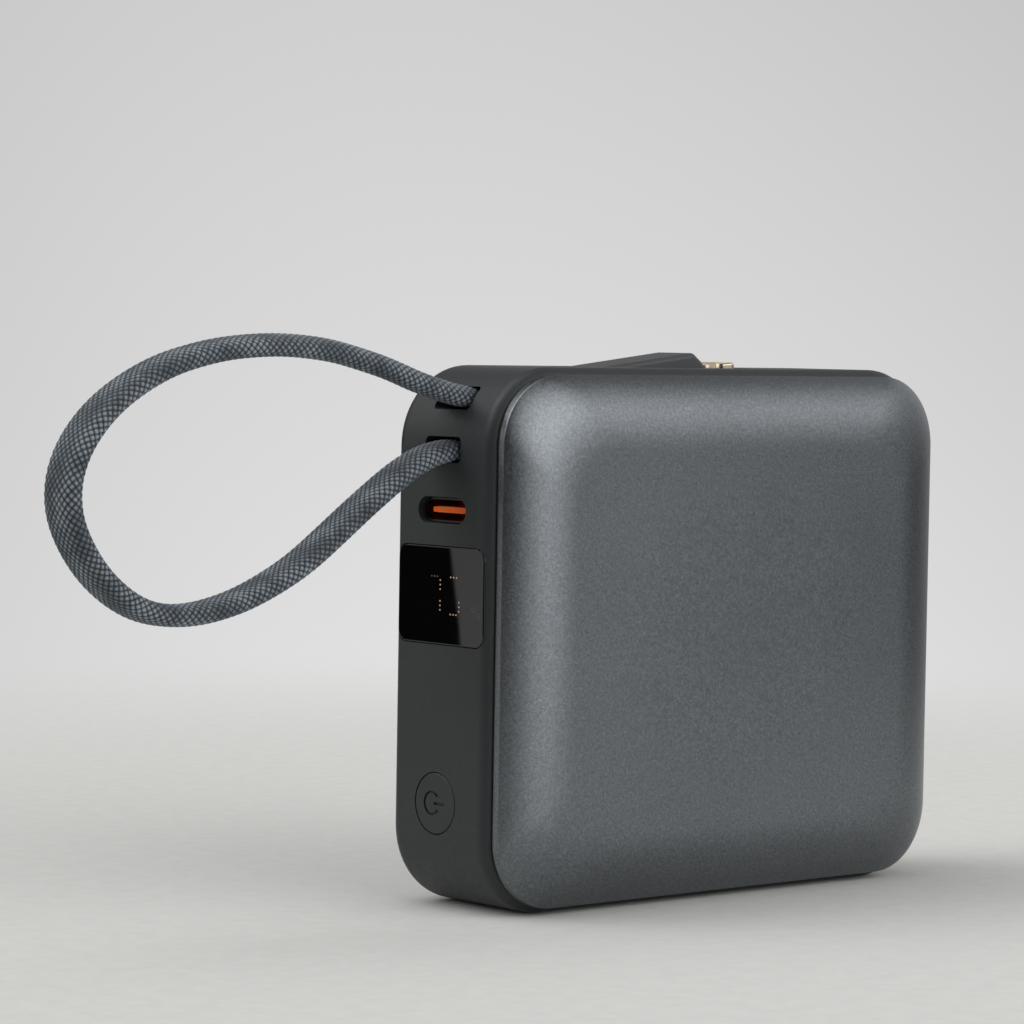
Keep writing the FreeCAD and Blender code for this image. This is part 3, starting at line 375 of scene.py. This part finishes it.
def braid_height(u, v):
    """height of a one-over-one braid, 0 to 1; u runs round, v along, both in strands"""
    a, b = u + v, u - v
    ia, ib = np.floor(a), np.floor(b)
    fa, fb = a - ia, b - ib
    over = np.mod(ia + ib, 2) < 1
    # each crossing shows one bead: round across the strand on top, longer along it
    across = np.where(over, fb, fa)
    along = np.where(over, fa, fb)
    crown = np.sqrt(np.clip(1 - (2.0 * across - 1) ** 2, 0, 1))
    swell = np.clip(1 - np.abs(2 * along - 1) ** 2.6, 0, 1) ** 0.5
    return crown * (0.15 + 0.85 * swell)


def braided_tube(name, line, dist, wide, thick, twist, step_round, strands, pitch, relief, caps=True):
    """oval tube that follows a line in a plane y = 0, with the braid as real relief"""
    n = len(line)
    tan = np.gradient(line, axis=0)
    tan /= np.linalg.norm(tan, axis=1)[:, None]
    Y = np.array([0.0, 1.0, 0.0])
    nrm = np.cross(Y, tan)
    nrm /= np.linalg.norm(nrm, axis=1)[:, None]
    # superellipse section, sampled evenly by its own arc length
    t = np.linspace(0, 2 * np.pi, 4000, endpoint=False)
    e = 2 / 2.5
    sx = np.sign(np.cos(t)) * np.abs(np.cos(t)) ** e
    sy = np.sign(np.sin(t)) * np.abs(np.sin(t)) ** e
    X, Z = sx * (wide / 2 - relief), sy * (thick / 2 - relief)
    seg = np.hypot(np.diff(np.r_[X, X[0]]), np.diff(np.r_[Z, Z[0]]))
    cum = np.r_[0, np.cumsum(seg)]
    per = cum[-1]
    m = int(round(per / step_round))
    target = np.arange(m) / m * per
    px = np.interp(target, cum, np.r_[X, X[0]])
    pz = np.interp(target, cum, np.r_[Z, Z[0]])
    # outward normals of the section
    dx = np.roll(px, -1) - np.roll(px, 1)
    dz = np.roll(pz, -1) - np.roll(pz, 1)
    nx, nz = dz, -dx
    ln = np.hypot(nx, nz)
    nx, nz = nx / ln, nz / ln
    uu = np.arange(m) / m * strands
    U, Vv = np.meshgrid(uu, dist / pitch)
    H = braid_height(U, Vv)
    rng = np.random.default_rng(7)
    # slow swelling of the yarns, so that no two stitches are the same
    wob = 0.10 * np.sin(2 * np.pi * (U / strands * 3 + Vv * 0.037 + 0.3)) + 0.08 * np.sin(2 * np.pi * (Vv * 0.113 + U / strands))
    H = np.clip(H * (1 + wob), 0, 1.15)
    tw = np.array([twist(s / dist[-1]) for s in dist])
    ca, sa = np.cos(tw)[:, None], np.sin(tw)[:, None]
    ox = px[None, :] + nx[None, :] * (H * relief)
    oz = pz[None, :] + nz[None, :] * (H * relief)
    rx = ox * ca - oz * sa
    rz = ox * sa + oz * ca
    P = line[:, None, :] + rx[..., None] * Y[None, None, :] + rz[..., None] * nrm[:, None, :]
    verts = P.reshape(-1, 3)
    i, j = np.meshgrid(np.arange(n - 1), np.arange(m), indexing="ij")
    j2 = (j + 1) % m
    faces = np.stack([i * m + j, i * m + j2, (i + 1) * m + j2, (i + 1) * m + j], -1).reshape(-1, 4)
    faces = faces.tolist()
    if caps:
        faces.append(list(range(m))[::-1])
        faces.append([(n - 1) * m + k for k in range(m)])
    ob = new_mesh(name, verts, faces)
    me = ob.data
    me.validate()
    # face winding: outward
    bm = bmesh.new()
    bm.from_mesh(me)
    bmesh.ops.recalc_face_normals(bm, faces=bm.faces)
    bm.to_mesh(me)
    bm.free()
    at = me.attributes.new("braid", "FLOAT", "POINT")
    at.data.foreach_set("value", H.reshape(-1).astype(np.float32))
    uv = me.uv_layers.new(name="UVMap")
    vi = np.empty(len(me.loops), dtype=np.int32)
    me.loops.foreach_get("vertex_index", vi)
    row, col = vi // m, (vi % m).astype(float)
    ls = np.empty(len(me.polygons), dtype=np.int32)
    me.polygons.foreach_get("loop_start", ls)
    lt = np.empty(len(me.polygons), dtype=np.int32)
    me.polygons.foreach_get("loop_total", lt)
    for s0, k in zip(ls, lt):
        if k == 4:
            c = col[s0:s0 + 4]
            if c.max() - c.min() > m / 2:
                c[c < m / 2] += m
    uvs = np.stack([col / m * strands, dist[row] / pitch], 1).astype(np.float32)
    uv.data.foreach_set("uv", uvs.reshape(-1))
    me.update()
    return ob


cable_mat = Mat("cable_braid")
att = cable_mat.node("Attribute", attribute_name="braid")
uvn = cable_mat.node("UVMap", uv_map="UVMap")
fibre = cable_mat.noise(1.0, 2.0, 0.6, uvn.outputs["UV"], (9.0, 2.2, 1.0))
yarn = cable_mat.noise(1.0, 2.0, 0.5, uvn.outputs["UV"], (0.55, 0.55, 1.0))
# the braid's height makes the hollows between the yarns near black and the crowns light: painted shade and painted
# highlight, with the random tone of yarns and fibres
fac = cable_mat.math("ADD", cable_mat.math("MULTIPLY", att.outputs["Fac"], 0.72),
                     cable_mat.math("ADD", cable_mat.math("MULTIPLY", yarn, 0.34), cable_mat.math("MULTIPLY", fibre, 0.16)))
cable_mat.link(cable_mat.ramp(fac, [(0.30, (0.003, 0.004, 0.005)), (0.62, (0.030, 0.038, 0.046)),
                                    (0.84, (0.100, 0.120, 0.138)), (1.0, (0.240, 0.270, 0.298))]),
               cable_mat.b.inputs["Base Color"])
cable_mat.set("Roughness", 0.72)
cable_mat.set("Sheen_Weight", 0.25)
cable_mat.set("Sheen_Roughness", 0.45)
cable_mat.set("Sheen_Tint", (0.75, 0.8, 0.88))
cable_mat.set("Specular_IOR_Level", 0.35)
cn = cable_mat.bump(att.outputs["Fac"], 0.45, 0.00008)
cable_mat.link(cable_mat.bump(fibre, 0.35, 0.00003, cn), cable_mat.b.inputs["Normal"])

raw = spline_line("cable_line", [(x, 0.0, z) for x, z in ROUTE], 64)
STEP = 0.00010
line, dist = even(raw, STEP)


def loop_twist(s):
    """the ribbon turns a little about its own line on the way round"""
    return math.radians(13.0) * math.exp(-((s - 0.12) / 0.12) ** 2) + math.radians(6.0) * math.exp(-((s - 0.48) / 0.14) ** 2)


cable = braided_tube("braided_cable", line, dist, CABLE_W, CABLE_T, loop_twist, STEP * 1.05, 16, 0.00098, 0.00016)
cable.data.materials.append(cable_mat.m)
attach(cable, "housing")
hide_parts("cable_loop")

# ------------------------------------------------------------------ pillow skins
W2, H2 = 0.0397, 0.03465                       # half sizes of a skin's outline, from its box
lo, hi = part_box("front_cover")
W2, H2 = (hi[0] - lo[0]) / 2, (hi[2] - lo[2]) / 2
ZC = (hi[2] + lo[2]) / 2
SEAM, TOP = -hi[1], -lo[1]                     # distance of the seam and of the plateau from the middle
BAND = 0.0011
ROLL_IN, RISE = 0.0100, (TOP - SEAM) - BAND
R_SEAM = 0.0094
CROWN = 0.00035


def outline(inset, radius, n_corner=28, n_side=26):
    """closed ring of points of a rounded rectangle, same count at every inset"""
    a, b = W2 - inset, H2 - inset
    r = min(radius, a, b)
    pts = []
    for cx, cz, a0 in ((a - r, b - r, 0.0), (-(a - r), b - r, 90.0), (-(a - r), -(b - r), 180.0), (a - r, -(b - r), 270.0)):
        for k in range(n_corner + 1):
            t = math.radians(a0 + 90.0 * k / n_corner)
            pts.append((cx + r * math.cos(t), cz + r * math.sin(t)))
        # straight side to the next corner
        nx, nz = {0.0: (-(a - r), b), 90.0: (-a, -(b - r)), 180.0: (a - r, -b), 270.0: (a, b - r)}[a0]
        x0, z0 = pts[-1]
        for k in range(1, n_side):
            pts.append((x0 + (nx - x0) * k / n_side, z0 + (nz - z0) * k / n_side))
    return pts


def roll_profile(t):
    """share of the rise at the share t of the way in; leaves the wall at an angle"""
    return (1 - (1 - t) ** 2.35) ** 0.86


def skin_piece(name, sign):
    verts, faces, rings = [], [], []

    def ring(inset, level, radius, crown=True):
        base = len(verts)
        for (x, z) in outline(inset, radius):
            c = CROWN * max(0.0, 1 - (x / W2) ** 2) * max(0.0, 1 - (z / H2) ** 2) if crown else 0.0
            verts.append((x, sign * (level + c), ZC + z))
        rings.append(list(range(base, len(verts))))

    inner = 0.0008
    ring(inner, SEAM + 0.0012, R_SEAM - inner, False)
    ring(inner, SEAM + 0.00004, R_SEAM - inner, False)
    ring(inner - 0.00006, SEAM, R_SEAM - inner, False)
    ring(0.00012, SEAM, R_SEAM, False)
    ring(0.00003, SEAM + 0.00003, R_SEAM, False)
    ring(0.0, SEAM + 0.00012, R_SEAM, False)
    for k in range(1, 5):
        ring(0.0, SEAM + 0.00012 + (BAND - 0.0002) * k / 4, R_SEAM, False)
    # tiny round of the crease between the wall and the pillow
    ring(0.000015, SEAM + BAND + 0.000005, R_SEAM, False)
    steps = [0.006, 0.012, 0.02, 0.03, 0.042, 0.056, 0.073, 0.093, 0.116, 0.142, 0.171, 0.203, 0.238, 0.276, 0.317,
             0.361, 0.408, 0.458, 0.511, 0.567, 0.626, 0.688, 0.753, 0.821, 0.892, 0.966, 1.0]
    for t in steps:
        i = ROLL_IN * t
        ring(i, SEAM + BAND + RISE * roll_profile(t), R_SEAM - 0.22 * i)
    last = rings[-1]
    cx = [verts[v] for v in last]
    for sc in (0.94, 0.86, 0.76, 0.64, 0.5, 0.35, 0.2, 0.08):
        base = len(verts)
        for (x, y, z) in cx:
            X, Z = x * sc, (z - ZC) * sc
            c = CROWN * (1 - (X / W2) ** 2) * (1 - (Z / H2) ** 2)
            verts.append((X, sign * (TOP + c), ZC + Z))
        rings.append(list(range(base, len(verts))))
    n = len(rings[0])
    for r0, r1 in zip(rings, rings[1:]):
        for k in range(n):
            k2 = (k + 1) % n
            f = (r0[k], r0[k2], r1[k2], r1[k])
            faces.append(f if sign < 0 else f[::-1])
    faces.append(tuple(rings[-1]) if sign < 0 else tuple(rings[-1][::-1]))
    faces.append(tuple(rings[0][::-1]) if sign < 0 else tuple(rings[0]))
    ob = new_mesh(name, verts, faces)
    bm = bmesh.new()
    bm.from_mesh(ob.data)
    bmesh.ops.remove_doubles(bm, verts=bm.verts, dist=1e-7)
    bmesh.ops.recalc_face_normals(bm, faces=bm.faces)
    bm.to_mesh(ob.data)
    bm.free()
    ob.data.polygons.foreach_set("use_smooth", [True] * len(ob.data.polygons))
    sharp(ob, 24)
    ob.data.materials.append(skin.m)
    return ob


for nm, node, sign in (("front_skin", "front_cover", -1), ("rear_skin", "rear_cover", 1)):
    lo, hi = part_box(node)
    W2, H2, ZC = (hi[0] - lo[0]) / 2, (hi[2] - lo[2]) / 2, (hi[2] + lo[2]) / 2
    R_SEAM = 0.0094 if sign < 0 else 0.00815
    ob = skin_piece(nm, sign)
    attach(ob, "housing")
    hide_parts(node)

# ------------------------------------------------------------------ lit digits
led = Mat("led_dots", Base_Color=(0.35, 0.2, 0.12), Roughness=0.4)
led.set("Emission_Color", (1.0, 0.56, 0.32))
led.set("Emission_Strength", 0.32)
led_dim = Mat("led_dots_dim", Base_Color=(0.10, 0.09, 0.09), Roughness=0.4)
led_dim.set("Emission_Color", (0.75, 0.62, 0.58))
led_dim.set("Emission_Strength", 0.04)

wlo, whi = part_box("display_window")
WX, WZ = wlo[0], (wlo[2] + whi[2]) / 2
LEVEL_X = WX - 0.000012


def disc(verts, faces, y, z, r, n=20):
    """flat lens-shaped dot on the window's face"""
    base = len(verts)
    rows = [(1.0, 0.000012 + 0.00003), (1.0, 0.0), (0.7, -0.000012), (0.35, -0.000018)]
    for q, off in rows:
        for k in range(n):
            t = 2 * math.pi * k / n
            verts.append((LEVEL_X + off, y + r * q * math.cos(t), z + r * q * math.sin(t)))
    for ri in range(len(rows) - 1):
        for k in range(n):
            k2 = (k + 1) % n
            faces.append((base + ri * n + k, base + ri * n + k2, base + (ri + 1) * n + k2, base + (ri + 1) * n + k))
    faces.append(tuple(base + (len(rows) - 1) * n + k for k in range(n)))
    faces.append(tuple(base + k for k in range(n))[::-1])


def dots_piece(name, places, mat):
    verts, faces = [], []
    for (y, z, r) in places:
        disc(verts, faces, y, z, r)
    ob = new_mesh(name, verts, faces)
    bm = bmesh.new()
    bm.from_mesh(ob.data)
    bmesh.ops.recalc_face_normals(bm, faces=bm.faces)
    bm.to_mesh(ob.data)
    bm.free()
    ob.data.materials.append(mat.m)
    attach(ob, "housing")
    return ob


P = 0.00059
DW, DH = 0.0023, 0.00487
COL = 0.00137
bright, dim = [], []


def seg(cy, cz, horizontal, store, r=0.00011):
    for k in (-1, 0, 1):
        store.append((cy + (0 if not horizontal else -k * P * 1.0), cz + (0 if horizontal else k * P), r))


def digit(y0, zc, lit, faint):
    where = {"a": (y0, zc + DH / 2, True), "g": (y0, zc, True), "d": (y0, zc - DH / 2, True),
             "f": (y0 + DW / 2, zc + COL, False), "b": (y0 - DW / 2, zc + COL, False),
             "e": (y0 + DW / 2, zc - COL, False), "c": (y0 - DW / 2, zc - COL, False)}
    for k in lit:
        seg(*where[k], bright)
    for k in faint:
        seg(*where[k], dim, 0.0001)


ZD = 0.04185
digit(0.00125, ZD, "bc", "a")
digit(-0.00262, ZD, "acd", "")
for (yy, zz) in ((-0.00660, 0.04035), (-0.00765, 0.03955)):
    for k in range(8):
        t = 2 * math.pi * k / 8
        dim.append((yy + 0.00028 * math.cos(t), zz + 0.00028 * math.sin(t), 0.000055))
for k in range(6):
    dim.append((-0.00655 - 0.00024 * k, 0.03925 + 0.00028 * k, 0.000055))
lit = dots_piece("digit_dots", bright, led)
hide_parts("display_dots")
dots_piece("digit_dots_dim", dim, led_dim)

# ------------------------------------------------------------------ plug neck
# braided neck, bent up towards the plug
neck_pts = spline_line("neck_line", [(-0.0205, 0.0, HIGH_Z), (-0.0196, 0.0, HIGH_Z + 0.0001), (-0.0188, 0.0, HIGH_Z + 0.0009),
                                     (-0.0178, 0.0, HIGH_Z + 0.0021), (-0.0168, 0.0, HIGH_Z + 0.0026)], 24)
nl, nd = even(neck_pts, 0.00012)
neck = braided_tube("plug_neck", nl, nd, CABLE_W - 0.0001, CABLE_T - 0.0001, lambda s: 0.0, 0.00013, 16, 0.00098, 0.00015)
neck.data.materials.append(cable_mat.m)
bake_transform(neck)
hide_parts("plug_tail")

# the run of cable inside the channel takes the braid's finish too
plain_braid = Mat("cable_inner_braid", Roughness=0.75)
pz = plain_braid.noise(2600.0, 2.0, 0.6)
plain_braid.link(plain_braid.ramp(pz, [(0.35, (0.02, 0.024, 0.028)), (0.65, (0.13, 0.145, 0.16))]), plain_braid.b.inputs["Base Color"])
plain_braid.link(plain_braid.bump(pz, 0.6, 0.00008), plain_braid.b.inputs["Normal"])
for node in ("cable_inner",):
    ob = bpy.data.objects[node]
    if not ob.material_slots:
        ob.data.materials.append(plain_braid.m)
    for sl in ob.material_slots:
        sl.material = plain_braid.m

# ------------------------------------------------------------------ floor, light
FLOOR_LOW, FLOOR_HIGH = (0.640, 0.638, 0.618), (0.675, 0.673, 0.652)
bpy.ops.mesh.primitive_circle_add(vertices=128, radius=0.44, fill_type="NGON", location=(0, 0, -0.00005))
floor = bpy.context.object
floor.name = "floor"
fm = Mat("floor_paper", Roughness=0.85)
fz = fm.noise(320.0, 4.0, 0.6)
fm.link(fm.ramp(fz, [(0.35, FLOOR_LOW), (0.65, FLOOR_HIGH)]), fm.b.inputs["Base Color"])
fm.link(fm.bump(fz, 0.25, 0.0002), fm.b.inputs["Normal"])
# the paper fades into the pale room towards its rim
ftc = fm.node("TexCoord")
flen = fm.node("VectorMath", operation="LENGTH")
fm.link(ftc.outputs["Object"], flen.inputs[0])
fade = fm.node("MapRange", interpolation_type="SMOOTHERSTEP")
fade.inputs["From Min"].default_value = 0.13
fade.inputs["From Max"].default_value = 0.42
fm.link(flen.outputs["Value"], fade.inputs["Value"])
ftr = fm.node("BsdfTransparent")
fmix = fm.node("MixShader")
fm.link(fade.outputs["Result"], fmix.inputs[0])
fm.link(fm.b.outputs["BSDF"], fmix.inputs[1])
fm.link(ftr.outputs["BSDF"], fmix.inputs[2])
fm.link(fmix.outputs["Shader"], fm.out.inputs["Surface"])
floor.data.materials.append(fm.m)
floor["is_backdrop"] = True

world = bpy.data.worlds.new("studio")
scene.world = world
world.use_nodes = True
wn, wl = world.node_tree.nodes, world.node_tree.links
wn.clear()
wo = wn.new("ShaderNodeOutputWorld")
bg = wn.new("ShaderNodeBackground")
wl.new(bg.outputs[0], wo.inputs[0])
tc = wn.new("ShaderNodeTexCoord")


def toward(az, el):
    """direction as seen from the object: azimuth 0 is the front (-Y), 90 is +X"""
    a, e = math.radians(az), math.radians(el)
    return (math.sin(a) * math.cos(e), -math.cos(a) * math.cos(e), math.sin(e))


# soft lights all round, as (azimuth, elevation, strength); each is a lobe of the sky
# >>> studio
LOBES = [(-157.5, -14, 0.083), (-135, -14, 1.019), (0, -14, 0.223), (22.5, -14, 0.027), (112.5, -14, 0.028), (135,
         -14, 0.674), (157.5, -14, 0.292), (-123.8, 9, 0.259), (-11.2, 9, 1.250), (11.2, 9, 2.150), (33.8, 9, 0.740),
         (78.8, 9, 0.250), (101.2, 9, 0.480), (123.8, 9, 0.239), (146.2, 9, 0.430), (-128.6, 30, 2.192), (-102.9, 30,
         1.688), (-25.7, 30, 0.320), (0, 30, 1.450), (25.7, 30, 2.050), (51.4, 30, 1.250), (77.1, 30, 0.350), (102.9,
         30, 0.739), (-162, 52, 1.046), (-126, 52, 2.812), (-90, 52, 0.341), (-18, 52, 0.424), (18, 52, 0.346), (-144,
         76, 1.345), (-72, 76, 0.396), (72, 76, 0.160), (144, 76, 0.788)]
# <<< studio
SHARPNESS = 24
TINT = (1.0, 1.0, 1.0)


def wmath(op, a, b):
    nd = wn.new("ShaderNodeMath")
    nd.operation = op
    for i, v in enumerate((a, b)):
        if isinstance(v, (int, float)):
            nd.inputs[i].default_value = v
        else:
            wl.new(v, nd.inputs[i])
    return nd.outputs[0]


def wdot(direction):
    nd = wn.new("ShaderNodeVectorMath")
    nd.operation = "DOT_PRODUCT"
    wl.new(tc.outputs["Generated"], nd.inputs[0])
    nd.inputs[1].default_value = direction
    return nd.outputs["Value"]


def wstep(value, lo, hi):
    nd = wn.new("ShaderNodeMapRange")
    nd.interpolation_type = "SMOOTHSTEP"
    nd.inputs["From Min"].default_value = lo
    nd.inputs["From Max"].default_value = hi
    wl.new(value, nd.inputs["Value"])
    return nd.outputs["Result"]


level = None
for az, el, strength in LOBES:
    term = wmath("MULTIPLY", wmath("POWER", wmath("MAXIMUM", wdot(toward(az, el)), 0.0), SHARPNESS), strength)
    level = term if level is None else wmath("ADD", level, term)
# a black flag stands low on the far left, and ends in a sharp upright edge
EDGE_AZ, EDGE_TILT = -140.02, 0.13
e1 = Vector(toward(EDGE_AZ - EDGE_TILT, -3.0))
e2 = Vector(toward(EDGE_AZ + EDGE_TILT, -5.0))
inside = e1.cross(e2).normalized()
if inside.dot(Vector(toward(EDGE_AZ - 5, -4))) < 0:
    inside = -inside
flag = wstep(wdot(inside), 0.0, 0.0012)
flag = wmath("MULTIPLY", flag, wstep(wdot(toward(EDGE_AZ - 4.5, -4.0)), math.cos(math.radians(8.5)), math.cos(math.radians(7.0))))
level = wmath("MULTIPLY", level, wmath("SUBTRACT", 1.0, wmath("MULTIPLY", flag, 0.985)))
rgb = wn.new("ShaderNodeCombineColor")
for k in range(3):
    wl.new(wmath("MULTIPLY", level, TINT[k]), rgb.inputs[k])
wl.new(rgb.outputs[0], bg.inputs["Color"])
bg.inputs["Strength"].default_value = 1.0

# ------------------------------------------------------------------ sizes
lo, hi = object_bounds()
